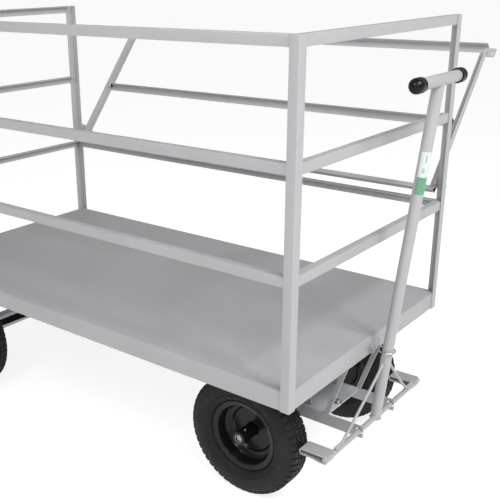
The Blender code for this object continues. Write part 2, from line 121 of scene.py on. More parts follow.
def plate(axis, start, end, outline, holes=()):
    """A flat plate: outline and holes lie across the axis, from start to end along it."""
    rings = [list(outline), *[list(h) for h in holes]]
    flat = [p for ring in rings for p in ring]
    count = len(flat)
    verts = [lift(axis, start, p) for p in flat] + [lift(axis, end, p) for p in flat]
    if holes:
        caps = [list(t) for t in tessellate_polygon([[Vector((*p, 0)) for p in ring] for ring in rings])]
    else:
        caps = [list(range(count))]
    faces = caps + [[i + count for i in reversed(face)] for face in caps]
    base = 0
    for ring in rings:
        size = len(ring)
        for i in range(size):
            a, b = base + i, base + (i + 1) % size
            faces.append([a, b, b + count, a + count])
        base += size
    return verts, faces


def bands(rows, n, closed=False):
    """The faces between neighbouring rings of n points; closed joins the last ring to the first too."""
    pairs = [(a * n, (a + 1) % rows * n) for a in range(rows if closed else rows - 1)]
    return [[a + k, a + (k + 1) % n, b + (k + 1) % n, b + k] for a, b in pairs for k in range(n)]


def stack(rings):
    """A closed skin over rings of points that all have the same count, capped at both ends."""
    n = len(rings[0])
    verts = [p for ring in rings for p in ring]
    caps = [list(range(n)), list(range(len(verts) - n, len(verts)))]
    return verts, caps + bands(len(rings), n)


def loop_round(centre, side, up, radius, count, start=0.0):
    """A ring of points round a centre, in the plane of two unit vectors."""
    angles = [2 * pi * (k + start) / count for k in range(count)]
    return [centre + (side * cos(t) + up * sin(t)) * radius for t in angles]


def angle_bar(axis, low, high, heel):
    """A folded angle that fills the box low to high along an axis; heel gives its heel's side across it."""
    a = "xyz".index(axis)
    b, c = [i for i in range(3) if i != a]
    legs = (high[b] - low[b], high[c] - low[c])
    corner = [(high if way > 0 else low)[i] for way, i in zip(heel, (b, c))]
    shape = [(0, 0), (legs[0], 0), (legs[0], ANGLE_T), (ANGLE_T, ANGLE_T), (ANGLE_T, legs[1]), (0, legs[1])]
    shape = rounded(shape, [0.0030, 0.0004, 0.0009, 0.0016, 0.0009, 0.0004])
    shape = [(corner[0] - heel[0] * p, corner[1] - heel[1] * q) for p, q in shape]
    return plate(axis, low[a], high[a], shape)


def lathe(profile, count=FINE):
    """A closed (radius, height) outline turned about Z."""
    verts, rings, faces = [], [], []
    for radius, height in profile:
        ring = []
        for k in range(1 if radius < 1e-6 else count):
            t = 2 * pi * k / count
            ring.append(len(verts))
            verts.append((radius * cos(t), radius * sin(t), height))
        rings.append(ring)
    for first, second in zip(rings, rings[1:] + rings[:1]):
        for k in range(count):
            m = (k + 1) % count
            corners = [first[k % len(first)], first[m % len(first)]]
            corners += [second[m % len(second)], second[k % len(second)]]
            face = list(dict.fromkeys(corners))
            if len(face) > 2:
                faces.append(face)
    return verts, faces


def spline(points, steps):
    """A smooth curve through the points, with steps to each stretch."""
    points = [Vector(p) for p in points]
    line = [points[0] * 2 - points[1], *points, points[-1] * 2 - points[-2]]
    found = []
    for p0, p1, p2, p3 in zip(line, line[1:], line[2:], line[3:]):
        for k in range(steps):
            t = k / steps
            found.append(0.5 * (2 * p1 + (p2 - p0) * t + (2 * p0 - 5 * p1 + 4 * p2 - p3) * t * t
                                + (3 * p1 - p0 - 3 * p2 + p3) * t ** 3))
    return [*found, points[-1]]


def wire(points, radius, sides, taper):
    """A round wire along a path; taper is the length over which its two ends are rounded."""
    ends = [(0.0, 0.35), (0.12, 0.75), (0.35, 0.95)]
    first, last = (points[1] - points[0]).normalized(), (points[-2] - points[-1]).normalized()
    sizes = [s for _, s in ends] + [1.0] * (len(points) - 2) + [s for _, s in reversed(ends)]
    points = ([points[0] + first * (taper * d) for d, _ in ends] + points[1:-1]
              + [points[-1] + last * (taper * d) for d, _ in reversed(ends)])
    lines = [(b - a).normalized() for a, b in zip(points, points[1:])]
    side = lines[0].orthogonal().normalized()
    rings = []
    for i, (p, size) in enumerate(zip(points, sizes)):
        before, after = lines[max(i - 1, 0)], lines[min(i, len(lines) - 1)]
        ahead = (before + after).normalized()
        side = (side - ahead * side.dot(ahead)).normalized()
        rings.append(loop_round(p, side, ahead.cross(side), radius * size, sides))
    return stack(rings)


def bead(path, radius):
    """A weld bead: a rippled, slightly uneven rope of metal along a path."""
    ripple = 0.0022
    path = [Vector(p) for p in path]
    lengths = [(b - a).length for a, b in zip(path, path[1:])]
    total = sum(lengths)
    count = max(6, int(total / (ripple / 3)))
    points, sizes = [], []
    for i in range(count + 1):
        gone = total * i / count
        left, k = gone, 0
        while k < len(lengths) - 1 and left > lengths[k]:
            left -= lengths[k]
            k += 1
        points.append(path[k].lerp(path[k + 1], min(1.0, left / lengths[k])))
        end = min(gone, total - gone) / radius
        body = sqrt(max(0.04, 1 - max(0.0, 1 - end) ** 2))
        waves = 0.10 * sin(2 * pi * gone / ripple)
        sizes.append(body * (1 + waves + 0.05 * sin(gone * 411 + 1)))
    lines = [(b - a).normalized() for a, b in zip(points, points[1:])]
    side = lines[0].orthogonal().normalized()
    rings = []
    for i, (p, size) in enumerate(zip(points, sizes)):
        ahead = lines[min(i, len(lines) - 1)]
        side = (side - ahead * side.dot(ahead)).normalized()
        rings.append(loop_round(p, side, ahead.cross(side), radius * size, 8, 0.5))
    return stack(rings)


def ring_bead(radius, height, size):
    """A bead round Z at a radius and height."""
    steps = max(12, int(radius * 2 * pi / 0.002))
    turns = [2 * pi * k / steps for k in range(steps + 1)]
    return bead([(radius * cos(t), radius * sin(t), height) for t in turns], size)


def upright_bead(x, y, z0, z1, size):
    return bead([(x, y, z0), (x, y, z1)], size)


def hexagon(across, low, high, chamfer=0.0008):
    """A hexagonal nut or head about Z with chamfered ends."""
    radius = across / sqrt(3)
    rows = [(radius - 2 * chamfer, low), (radius, low + chamfer)]
    rows += [(radius, high - chamfer), (radius - 2 * chamfer, high)]
    verts, caps = [], [[5, 4, 3, 2, 1, 0], [18, 19, 20, 21, 22, 23]]
    for r, z in rows:
        verts += [(r * cos(pi * k / 3), r * sin(pi * k / 3), z) for k in range(6)]
    return verts, caps + bands(4, 6)


def moved(shape, place):
    return [place @ Vector(v) for v in shape[0]], shape[1]


def merged(*shapes):
    verts, faces = [], []
    for v, f in shapes:
        faces += [[i + len(verts) for i in face] for face in f]
        verts += list(v)
    return verts, faces


def along(axis, at=(0, 0, 0)):
    """The placing that turns Z onto an axis, at a point."""
    turn = Vector((0, 0, 1)).rotation_difference(Vector(axis)).to_matrix().to_4x4()
    return Matrix.Translation(at) @ turn


def box_in(node, place=HOME):
    """Lowest and highest corner of a CAD node in a local frame."""
    back = place.inverted()
    points = [back @ v.co for v in frame["nodes"][node].data.vertices]
    low, high = (Vector([pick(p[i] for p in points) for i in range(3)]) for pick in (min, max))
    return low, high


# ---------------- materials

def nodes_of(name, rough, metal=0.0, shine=0.5):
    """A new material with its node tree, its shader and its object coordinates."""
    material = bpy.data.materials.new(name)
    material.use_nodes = True
    tree = material.node_tree
    shader = tree.nodes["Principled BSDF"]
    shader.inputs["Roughness"].default_value = rough
    shader.inputs["Metallic"].default_value = metal
    shader.inputs["Specular IOR Level"].default_value = shine
    coords = tree.nodes.new("ShaderNodeTexCoord")
    return material, tree, shader, coords.outputs["Object"]


def noise(tree, coords, scale, detail, rough=0.5):
    found = tree.nodes.new("ShaderNodeTexNoise")
    found.inputs["Scale"].default_value = scale
    found.inputs["Detail"].default_value = detail
    found.inputs["Roughness"].default_value = rough
    tree.links.new(coords, found.inputs["Vector"])
    return found.outputs["Fac"]


def ramp(tree, value, stops):
    """A colour ramp from a value; stops are (place, colour or grey)."""
    found = tree.nodes.new("ShaderNodeValToRGB")
    line = found.color_ramp
    while len(line.elements) < len(stops):
        line.elements.new(0.5)
    for element, (place, colour) in zip(line.elements, stops):
        element.position = place
        element.color = (*colour, 1) if hasattr(colour, "__len__") else (colour, colour, colour, 1)
    tree.links.new(value, found.inputs["Fac"])
    return found.outputs["Color"]


def mottled(tree, coords, shader, name, scale, detail, low, high):
    """Drives one of the shader's inputs between two values or colours by a cloudy noise."""
    cloud = ramp(tree, noise(tree, coords, scale, detail), [(0.3, low), (0.7, high)])
    tree.links.new(cloud, shader.inputs[name])


def blend_colour(tree, factor, first, second):
    """A first colour that gives way to a fixed second one by a factor."""
    found = tree.nodes.new("ShaderNodeMix")
    found.data_type = "RGBA"
    tree.links.new(factor, found.inputs["Factor"])
    tree.links.new(first, found.inputs[6])
    found.inputs[7].default_value = (*second, 1)
    return found.outputs[2]


def bump(tree, shader, layers):
    """Bump from (height, strength, distance) layers, one over the other."""
    last = None
    for height, strength, distance in layers:
        found = tree.nodes.new("ShaderNodeBump")
        found.inputs["Strength"].default_value = strength
        found.inputs["Distance"].default_value = distance
        tree.links.new(height, found.inputs["Height"])
        if last:
            tree.links.new(last, found.inputs["Normal"])
        last = found.outputs["Normal"]
    tree.links.new(last, shader.inputs["Normal"])


def painted(name, colour, rough, tint=0.04, peel=0.00012, shine=0.5):
    """Sprayed powder paint: faint clouds of tone, an orange-peel skin, and lighter outer edges: thin paint plus a
    painted highlight.
    """
    material, tree, shader, coords = nodes_of(name, rough, 0.0, shine)
    cloud = noise(tree, coords, 3.2, 4.0)
    dark = [c * (1 - tint) for c in colour]
    light = [min(1.0, c * (1 + tint)) for c in colour]
    tone = ramp(tree, cloud, [(0.32, dark), (0.68, light)])
    # Outer edges get a lighter colour: partly thin paint, partly a painted highlight where light would catch them.
    edge = tree.nodes.new("ShaderNodeNewGeometry").outputs["Pointiness"]
    edge_wear_and_highlight = ramp(tree, edge, [(0.53, 0.0), (0.60, 0.35)])
    tree.links.new(blend_colour(tree, edge_wear_and_highlight, tone, [min(1.0, c * 1.18 + 0.01) for c in colour]),
                   shader.inputs["Base Color"])
    fine = noise(tree, coords, 520, 2.0)
    mottled(tree, coords, shader, "Roughness", 38, 4.0, rough - 0.05, rough + 0.06)
    bump(tree, shader, [(fine, 0.35, peel), (noise(tree, coords, 90, 2.0), 0.25, peel)])
    return material


def rubber():
    """Moulded tyre rubber: near black, a dusty bloom in low places, fine pits."""
    material, tree, shader, coords = nodes_of("tyre_rubber", 0.62, 0.0, 0.22)
    clean, grey = (0.0090, 0.0095, 0.0102), (0.0138, 0.0143, 0.0150)
    tone = ramp(tree, noise(tree, coords, 22, 6.0, 0.6), [(0.3, clean), (0.7, grey)])
    edge = tree.nodes.new("ShaderNodeNewGeometry").outputs["Pointiness"]
    dust = ramp(tree, edge, [(0.40, 0.30), (0.50, 0.0)])
    tree.links.new(blend_colour(tree, dust, tone, (0.026, 0.025, 0.024)), shader.inputs["Base Color"])
    mottled(tree, coords, shader, "Roughness", 60, 3.0, 0.52, 0.70)
    pits, waves = noise(tree, coords, 900, 2.0), noise(tree, coords, 45, 3.0)
    bump(tree, shader, [(pits, 0.4, 0.00010), (waves, 0.2, 0.0003)])
    return material


def zinc(name, colour, rough):
    """Plated or bare steel: fine brushed lines and soft blotches."""
    material, tree, shader, coords = nodes_of(name, rough, 1.0)
    stretch = tree.nodes.new("ShaderNodeMapping")
    stretch.inputs["Scale"].default_value = (1.0, 0.08, 1.0)
    tree.links.new(coords, stretch.inputs["Vector"])
    mottled(tree, coords, shader, "Base Color", 70, 5.0, [c * 0.82 for c in colour], colour)
    mottled(tree, coords, shader, "Roughness", 120, 3.0, rough - 0.08, rough + 0.12)
    bump(tree, shader, [(noise(tree, stretch.outputs["Vector"], 1200, 2.0), 0.25, 0.00005)])
    return material


def plastic():
    """Glossy black moulded plastic."""
    material, tree, shader, coords = nodes_of("black_plastic", 0.30, 0.0, 0.22)
    mottled(tree, coords, shader, "Base Color", 60, 3.0, 0.0035, 0.0050)
    bump(tree, shader, [(noise(tree, coords, 700, 2.0), 0.25, 0.00006)])
    return material


def printed(name, colour):
    """Ink on a vinyl label."""
    material, tree, shader, coords = nodes_of(name, 0.34)
    mottled(tree, coords, shader, "Base Color", 400, 2.0, [c * 0.97 for c in colour], colour)
    bump(tree, shader, [(noise(tree, coords, 160, 2.0), 0.15, 0.00008)])
    return material


GREY = painted("grey_powder_paint", (0.350, 0.345, 0.357), 0.40)
FRAME_GREY = painted("underframe_paint", (0.42, 0.435, 0.465), 0.42, 0.06)
ENAMEL = painted("black_enamel", (0.0095, 0.0095, 0.0098), 0.16, 0.2, 0.00005, 0.22)
# Near black, as dark as the rear stays look under the platform; how much of that is their own colour is not known.
BLACK_STEEL = painted("black_paint", (0.0070, 0.0070, 0.0075), 0.30, 0.2, 0.00012, 0.3)
RUBBER = rubber()
ZINC = zinc("zinc_plate", (0.62, 0.62, 0.64), 0.30)
DULL_STEEL = zinc("axle_steel", (0.24, 0.238, 0.235), 0.42)
PLASTIC = plastic()
WHITE_INK = printed("label_white", (0.56, 0.62, 0.60))
GREEN_INK = printed("label_green", (0.115, 0.31, 0.18))
DARK_INK = printed("label_marks", (0.11, 0.13, 0.13))
DEEP_GREEN = printed("label_dark_green", (0.045, 0.20, 0.09))


# ---------------- pieces


def new_object(name, data):
    found = bpy.data.objects.new(name, data)
    bpy.context.scene.collection.objects.link(found)
    return found


def joint_at(name):
    """Where a joint is, in the HOME frame."""
    return HOME.inverted() @ Vector(JOINTS[name]["pos_m"])


def piece(name, shape, look, body, stands_for=(), place=HOME, edge=SHEEN):
    """A finished piece: placed, shaded, its cut edges softened, riding on its body."""
    mesh = bpy.data.meshes.new(name)
    mesh.from_pydata([tuple(v) for v in shape[0]], [], shape[1])
    work = bmesh.new()
    work.from_mesh(mesh)
    bmesh.ops.recalc_face_normals(work, faces=work.faces)
    work.transform(place)
    work.to_mesh(mesh)
    work.free()
    mesh.materials.append(look)
    mesh.shade_smooth()
    mesh.set_sharp_from_angle(angle=SMOOTH)
    found = new_object(name, mesh)
    if edge:
        bevel = found.modifiers.new("edges", "BEVEL")
        bevel.width, bevel.segments, bevel.limit_method = edge, 2, "ANGLE"
        bevel.angle_limit, bevel.harden_normals = radians(40), True
    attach(found, body)
    if stands_for:
        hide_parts(*stands_for)


def body_of(node):
    """The body that a CAD node belongs to."""
    return next(b for b, members in frame["record"]["behaviour"]["bodies"].items() if node in members)


def bars():
    """Every straight bar of folded angle: posts, rails and the gate's."""
    heels = {"rail_near": ("x", (-1, 1)), "rail_front": ("y", (1, 1)), "rail_rear": ("y", (-1, 1)),
             "rail_far": ("x", (1, 1)), "gate_rail_bottom": ("x", (1, -1)), "gate_rail": ("x", (1, 1))}
    for node in frame["nodes"]:
        if node.startswith("post_"):
            axis = "z"
            heel = (1 if "front" in node else -1, 1 if "far" in node else -1)
        else:
            kind = next((k for k in heels if node.startswith(k)), None)
            if kind is None:
                continue
            axis, heel = heels[kind]
        place = GATE if node.startswith("gate") else HOME
        low, high = box_in(node, place)
        piece(node + "_bar", angle_bar(axis, low, high, heel), GREY, body_of(node), [node], place)


def platform():
    """The folded tray: a sheet top with rounded bends, turned-down sides and a narrow lip below."""
    low, high = box_in("deck")
    sheet, lip, bend, corner = 0.0025, 0.018, 0.0055, 0.0030
    rows = [(sheet, high.z - sheet), (sheet, low.z + sheet + 0.0012), (sheet + 0.0012, low.z + sheet)]
    rows += [(lip, low.z + sheet), (lip, low.z)]
    rows += [(bend / 2 * (1 - sin(t)), low.z + bend / 2 * (1 - cos(t)))
             for t in (pi / 2 * k / 4 for k in range(5))]
    rows += [(bend * (1 - cos(t)), high.z - bend * (1 - sin(t)))
             for t in (pi / 2 * k / 7 for k in range(8))]
    rings = []
    for inset, z in rows:
        x, y = high.x - inset, high.y - inset
        rings.append([(*p, z) for p in rounded(rectangle(-x, -y, x, y), corner)])
    piece("platform_tray", stack(rings), GREY, "chassis", ["deck"], edge=0)


def bolt(across, head, shank, radius):
    """A hexagon bolt along Z: washer face at the origin, head above it, shank below."""
    washer = lathe(rectangle(radius, 0, across * 0.98, 0.0012), 40)
    tip = [(0, -shank), (radius - 0.0008, -shank), (radius, -shank + 0.0008), (radius, 0.001), (0, 0.001)]
    base, crown = head - 0.0006, head + 0.0003
    dome = [(0, base), (across * 0.42, base), (across * 0.40, crown), (0, crown)]
    return merged(hexagon(across, 0.0012, head), washer, lathe(tip, 28), lathe(dome, 28))


def gate_upright(end, way):
    """One of the gate's upright bars with its pivot ear; the front one carries the catch lug too."""
    low, high = box_in(f"gate_bar_{end}", GATE)
    rail_low, rail_high = box_in("gate_rail_mid", GATE)
    corner = box_in("gate_rail_top", GATE)[1]
    face = corner.x if way < 0 else low.x
    wide, heel = rail_high.y - rail_low.y, rail_high.y
    x0, x1 = sorted((face, face + way * wide))
    bar = angle_bar("z", (x0, rail_low.y, low.z), (x1, heel, corner.z - wide - 0.0003), (-way, 1))
    ear = rounded([(heel - 0.004, -0.0112), (0, -0.013), (0.0092, -0.0092), (0.013, 0), (0.0092, 0.0092),
                   (0, 0.013), (heel - 0.004, 0.030)], [0, 0.004, 0.004, 0.004, 0.004, 0.006, 0])
    x0, x1 = sorted((face, face + way * 0.004))
    shapes = [bar, plate("x", x0, x1, ear, [circle(0, 0, PIVOT_HOLE)])]
    if way < 0:
        tip, base = high.x, high.z - 0.034
        lug = rounded(rectangle(face - 0.022, base, tip, high.z), [0.001, 0.0045, 0.0045, 0.001])
        eye = circle(tip - 0.0105, base + 0.017, 0.0040)
        shapes.append(plate("y", heel + 0.0002, heel + 0.0043, lug, [eye]))
    piece(f"gate_upright_{end}", merged(*shapes), GREY, "side_gate", [f"gate_bar_{end}"], GATE)


def gate_bolt(end, way):
    """The bolt and nut on which one end of the gate turns."""
    low, high = box_in(f"gate_pin_{end}", GATE)
    outer, inner = (high.x, low.x) if way < 0 else (low.x, high.x)
    across, deep = 0.0128, 0.0052
    head = bolt(across, deep, abs(outer - inner) - deep, 0.0039)
    head = moved(head, along((-way, 0, 0), (outer + way * deep, 0, 0)))
    nut = moved(hexagon(across, 0, 0.0050), along((way, 0, 0), (inner - way * 0.0050, 0, 0)))
    piece(f"gate_bolt_{end}", merged(head, nut), ZINC, "side_gate", [f"gate_pin_{end}"], GATE, edge=0)


def hinge_leaf(end):
    """The plate on the platform's side that holds one of the gate's bolts."""
    low, high = box_in(f"hinge_plate_{end}")
    outline = [(low.y, low.z), (high.y - 0.008, low.z + 0.003), (high.y, low.z + 0.014),
               (high.y, high.z - 0.020), (high.y - 0.010, high.z - 0.008), (low.y, high.z)]
    outline = rounded(outline, [0, 0.006, 0.010, 0.008, 0.008, 0])
    pivot = joint_at("gate_fold")
    leaf = plate("x", low.x, high.x, outline, [circle(pivot.y, pivot.z, PIVOT_HOLE)])
    piece(f"hinge_leaf_{end}", leaf, GREY, "chassis", [f"hinge_plate_{end}"])


def gate_ends():
    """The upright bar, the bolt and the hinge plate at each end of the gate."""
    for end, way in (("front", -1), ("rear", 1)):
        gate_upright(end, way)
        gate_bolt(end, way)
        hinge_leaf(end)


def channel(low, high, thick):
    """A folded channel open below, filling the box low to high along Y."""
    root, toes = 0.003, 0.0008
    a, b, z0, z1, t = low[0], high[0], low[2], high[2], thick
    shape = [(a, z0), (a, z1), (b, z1), (b, z0), (b - t, z0), (b - t, z1 - t), (a + t, z1 - t), (a + t, z0)]
    outside, inside = root + t * 0.4, root * 0.6
    shape = rounded(shape, [toes, outside, outside, toes, toes, inside, inside, toes])
    return plate("y", low[1], high[1], shape)


def axles():
    """The two axle channels with their end blocks and stubs."""
    for end, body in (("front", "fore_carriage"), ("rear", "chassis")):
        low, high = box_in(f"{end}_axle")
        hub = joint_at(f"wheel_{end}_near_spin")
        x, z, reach = hub.x, hub.z, high.y
        half = 0.245 if end == "front" else 0.345
        beam = channel((low.x, -half, low.z), (high.x, half, high.z), 0.004)
        ends = []
        for way in (-1, 1):
            y0, y1 = sorted((way * (half - 0.060), way * (half - 0.001)))
            block = rectangle(x - 0.018, z - 0.014, x + 0.018, z + 0.037)
            ends.append(plate("y", y0, y1, rounded(block, 0.002)))
            stub = [(0, half - 0.01), (0.010, half - 0.01), (0.010, reach - 0.0012), (0.0088, reach)]
            stub += [(0.0036, reach), (0.0020, reach - 0.003), (0, reach - 0.003)]
            ends.append(moved(lathe(stub, 48), along((0, way, 0), (x, 0, z))))
        piece(f"{end}_axle_beam", merged(beam, *ends), FRAME_GREY, body, [f"{end}_axle"])


def rear_brackets():
    """The pierced gussets over the rear axle, and the black stays that rise forwards from it."""
    for side in ("near", "far"):
        low, high = box_in(f"rear_bracket_{side}")
        x = (low.x + high.x) / 2
        outline = rounded([(x - 0.045, low.z), (x + 0.045, low.z), (high.x, high.z), (low.x, high.z)], 0.002)
        holes = [circle(x, low.z + 0.085, 0.022, 48), circle(x, high.z - 0.060, 0.030, 48)]
        piece(f"rear_gusset_{side}", plate("y", low.y, high.y, outline, holes), FRAME_GREY, "chassis",
              [f"rear_bracket_{side}"])
        # The stays are drawn near black, as dark as they look under the platform.
        low, high = box_in(f"rear_brace_{side}")
        outline = [(low.x, low.z), (low.x, low.z + 0.029), (high.x - 0.060, high.z), (high.x, high.z)]
        outline = rounded(outline, [0.003, 0.003, 0.004, 0.001])
        piece(f"rear_stay_{side}", plate("y", low.y, high.y, outline), BLACK_STEEL, "chassis",
              [f"rear_brace_{side}"])


def turntable():
    """The carrier under the platform, the two grooved rings and the king bolt."""
    low, high = box_in("turntable_carrier")
    x0, x1, t = low.x, high.x, 0.004
    shape = [(x0, high.z), (x0, low.z), (x1, low.z), (x1, high.z), (x1 - t, high.z), (x1 - t, low.z + t),
             (x0 + t, low.z + t), (x0 + t, high.z)]
    shape = rounded(shape, [0.0005, 0.005, 0.005, 0.0005, 0.0005, 0.0025, 0.0025, 0.0005])
    piece("carrier_tray", plate("y", low.y, high.y, shape), FRAME_GREY, "chassis", ["turntable_carrier"])
    middle = Vector(JOINTS["steer"]["pos_m"])
    centre = Matrix.Translation((middle.x, middle.y, 0))
    low, high = box_in("turntable_upper_ring", centre)
    upper = rounded([(0.112, low.z), (0.126, low.z), (0.131, low.z + 0.0035), (0.136, low.z), (0.150, low.z),
                     (0.150, high.z), (0.112, high.z)], [0.001, 0.001, 0.003, 0.001, 0.001, 0.001, 0.001])
    spots = [(0.143 * cos(t), 0.143 * sin(t), 0) for t in (pi * k / 3 for k in range(6))]
    heads = [moved(hexagon(0.013, low.z - 0.0004, low.z + 0.001), along((0, 0, 1), spot)) for spot in spots]
    piece("turntable_race_upper", merged(lathe(upper), *heads), FRAME_GREY, "chassis",
          ["turntable_upper_ring"], centre, edge=0)
    low, high = box_in("turntable_lower_ring", centre)
    lower = [(0.112, low.z), (0.150, low.z), (0.150, high.z - 0.0006), (0.148, high.z)]
    lower += [(0.136, high.z), (0.131, high.z - 0.0035), (0.126, high.z), (0.112, high.z)]
    lower = rounded(lower, 0.001)
    piece("turntable_race_lower", lathe(lower), FRAME_GREY, "fore_carriage", ["turntable_lower_ring"], centre,
          edge=0)
    low, high = box_in("kingpin", centre)
    pin = [(0, low.z + 0.003), (0.010, low.z + 0.003), (0.0118, low.z + 0.005)]
    pin += [(0.0118, high.z - 0.001), (0.0105, high.z), (0, high.z)]
    pin = rounded(pin, 0.0004)
    nut = hexagon(0.0330, low.z + 0.0035, low.z + 0.0150, 0.0015)
    washer = lathe(rounded(rectangle(0.011, low.z + 0.0152, 0.0198, low.z + 0.0176), 0.0005), 48)
    piece("king_bolt", merged(lathe(pin, 48), nut, washer), ZINC, "chassis", ["kingpin"], centre, edge=0)


def bolster():
    """The saddle that carries the lower ring: a folded hat with a flat tongue ahead of it."""
    low, high = box_in("bolster")
    web, foot = 0.090, low.z
    seat = high.z - 0.006
    hat = [(-0.135, high.z), (-0.135, seat), (-web, seat), (-web, foot)]
    hat += [(-web + 0.006, foot), (-web + 0.006, seat)]
    hat += [(-y, z) for y, z in reversed(hat)]
    bends = [0.0006, 0.0006, 0.003, 0.0006, 0.0006, 0.003]
    x = joint_at("steer").x
    body = plate("x", x - 0.105, x + 0.104, rounded(hat, bends + bends[::-1]))
    tongue = rounded(rectangle(x + 0.1045, -0.130, high.x, 0.130), [0, 0.010, 0.010, 0])
    nose = plate("z", seat, high.z, tongue, [circle(x + 0.180, side * 0.060, 0.007) for side in (-1, 1)])
    piece("bolster_saddle", merged(body, nose), FRAME_GREY, "fore_carriage", ["bolster"])


def tow_frame():
    """The floor plate with its bolts, the two tow bars and the two struts."""
    low, high = box_in("base_plate")
    outline = rounded(rectangle(low.x, low.y, high.x, high.y), 0.0015)
    spots = [(high.x - 0.0135, -0.019), (low.x + 0.030, -0.019), (low.x + 0.030, 0.060)]
    piece("floor_plate", plate("z", low.z, high.z, outline), FRAME_GREY, "fore_carriage", ["base_plate"])
    heads = [moved(bolt(0.0165, 0.0085, 0.014, 0.0050), Matrix.Translation((x, y, high.z))) for x, y in spots]
    nuts = [moved(hexagon(0.0165, 0, 0.0080), along((0, 0, -1), (x, y, low.z))) for x, y in spots]
    piece("floor_plate_bolts", merged(*heads, *nuts), ZINC, "fore_carriage", edge=0)
    eye = joint_at("drawbar_tilt")
    for side in ("near", "far"):
        low, high = box_in(f"tow_bar_{side}")
        outline = rounded(rectangle(low.x, low.z, high.x, high.z), [0.0005, 0.0025, 0.0025, 0.0005])
        cheek = plate("y", low.y, high.y, outline, [circle(eye.x, eye.z, 0.0122, 48)])
        piece(f"tow_cheek_{side}", cheek, GREY, "fore_carriage", [f"tow_bar_{side}"])
        low, high = box_in(f"strut_{side}")
        outline = [(low.x, low.z), (low.x + STRUT_WIDE, low.z)]
        outline += [(high.x, high.z), (high.x - STRUT_WIDE, high.z)]
        flat = plate("y", low.y, high.y, rounded(outline, 0.0008))
        piece(f"strut_flat_{side}", flat, GREY, "fore_carriage", [f"strut_{side}"])


def tube_sizes():
    """Radius of the leaning tube, its length from axis to axis, and the radius of the rod at its foot."""
    low, high = box_in("drawbar_tube", DRAW)
    rod_low, rod_high = box_in("crossbar")
    return (high.y - low.y) / 2, GRIP_AT.length, (rod_high.x - rod_low.x) / 2


def drawbar():
    """The leaning tube, coped over the rod and the grip it meets, then the cross grip and its end caps."""
    radius, reach, rod_radius = tube_sizes()
    wall, foot, head, n = 0.0026, rod_radius + 0.0003, 0.0173, FINE
    verts = []
    for r, top in ((radius, False), (radius, True), (radius - wall, True), (radius - wall, False)):
        for x, y in circle(0, 0, r, n):
            dip = sqrt(max(0.0, (head if top else foot) ** 2 - x * x))
            verts.append((x, y, reach - dip if top else dip))
    piece("drawbar_pipe", (verts, bands(4, n, True)), GREY, "drawbar", ["drawbar_tube"], DRAW, edge=0)
    across = along((0, 1, 0), (0, 0, reach))
    half = box_in("handle_grip", DRAW)[1].y
    pipe = lathe(rounded(rectangle(radius - wall, -half, radius, half), 0.0006))
    piece("grip_pipe", moved(pipe, across), GREY, "drawbar", ["handle_grip"], DRAW, edge=0)
    for side, way in SIDES:
        place = DRAW @ along((0, way, 0), (0, 0, reach))
        low, high = box_in(f"handle_cap_{side}", place)
        ball = (high.x - low.x) / 2
        seat = high.z - ball
        turns = [pi / 2 * k / 20 for k in range(21)]
        shape = [(0, seat), *[(ball * sin(t), seat + ball * cos(t)) for t in turns]]
        shape += [(ball - 0.0002, seat - 0.004), (ball - 0.0006, low.z + 0.0035)]
        shape += [(ball - 0.0001, low.z + 0.0030), (ball - 0.0001, low.z + 0.0008), (ball - 0.0009, low.z)]
        shape += [(radius + 0.0004, low.z), (radius + 0.0004, seat)]
        piece(f"end_cap_{side}", lathe(shape), PLASTIC, "drawbar", [f"handle_cap_{side}"], place, edge=0)


def stays():
    """The rod at the drawbar's foot, the two bent stay rods, and the drawbar's welds."""
    radius, reach, r = tube_sizes()
    half = box_in("crossbar")[1].y
    rod = lathe(rounded(rectangle(0, -half, r, half), [0, 0.0012, 0.0012, 0]), 64)
    cross = along((0, 1, 0), joint_at("drawbar_tilt"))
    piece("foot_rod", moved(rod, cross), GREY, "drawbar", ["crossbar"], edge=0)
    thin = 0.0045
    rest = r + thin + 0.0002
    welds = []
    for side, way in SIDES:
        path = [(0, way * (radius + 0.0008), 0.2055), (0, way * 0.062, 0.1585), (0, way * 0.125, 0.0982),
                (0, way * 0.187, 0.0400), (0, way * 0.206, 0.0235), (0, way * 0.217, rest + 0.0012),
                (0, way * 0.226, rest), (0, way * 0.244, rest), (0, way * 0.262, rest)]
        rod = wire(spline(path, 5), thin, 20, 0.002)
        piece(f"stay_rod_{side}", rod, GREY, "drawbar", [f"brace_{side}"], DRAW, edge=0)
        welds.append(bead([(0.003, way * (radius + 0.0035), 0.210), (0.0045, way * (radius + 0.0045), 0.2035),
                           (0.003, way * (radius + 0.007), 0.1965)], 0.0016))
        for x in (-0.0045, 0.0045):
            welds.append(bead([(x, way * 0.226, rest - 0.0040), (x, way * 0.258, rest - 0.0040)], 0.0018))
    for way, dip, mid in ((1, r + 0.0003 + 0.0002, 0.0), (-1, 0.0172, reach)):
        turns = [2 * pi * k / 120 for k in range(121)]
        line = [((radius + 0.0004) * cos(t), (radius + 0.0004) * sin(t)) for t in turns]
        line = [(x, y, mid + way * sqrt(max(0.0, dip * dip - x * x))) for x, y in line]
        welds.append(bead(line, 0.0021))
    piece("drawbar_welds", merged(*welds), GREY, "drawbar", place=DRAW, edge=0)


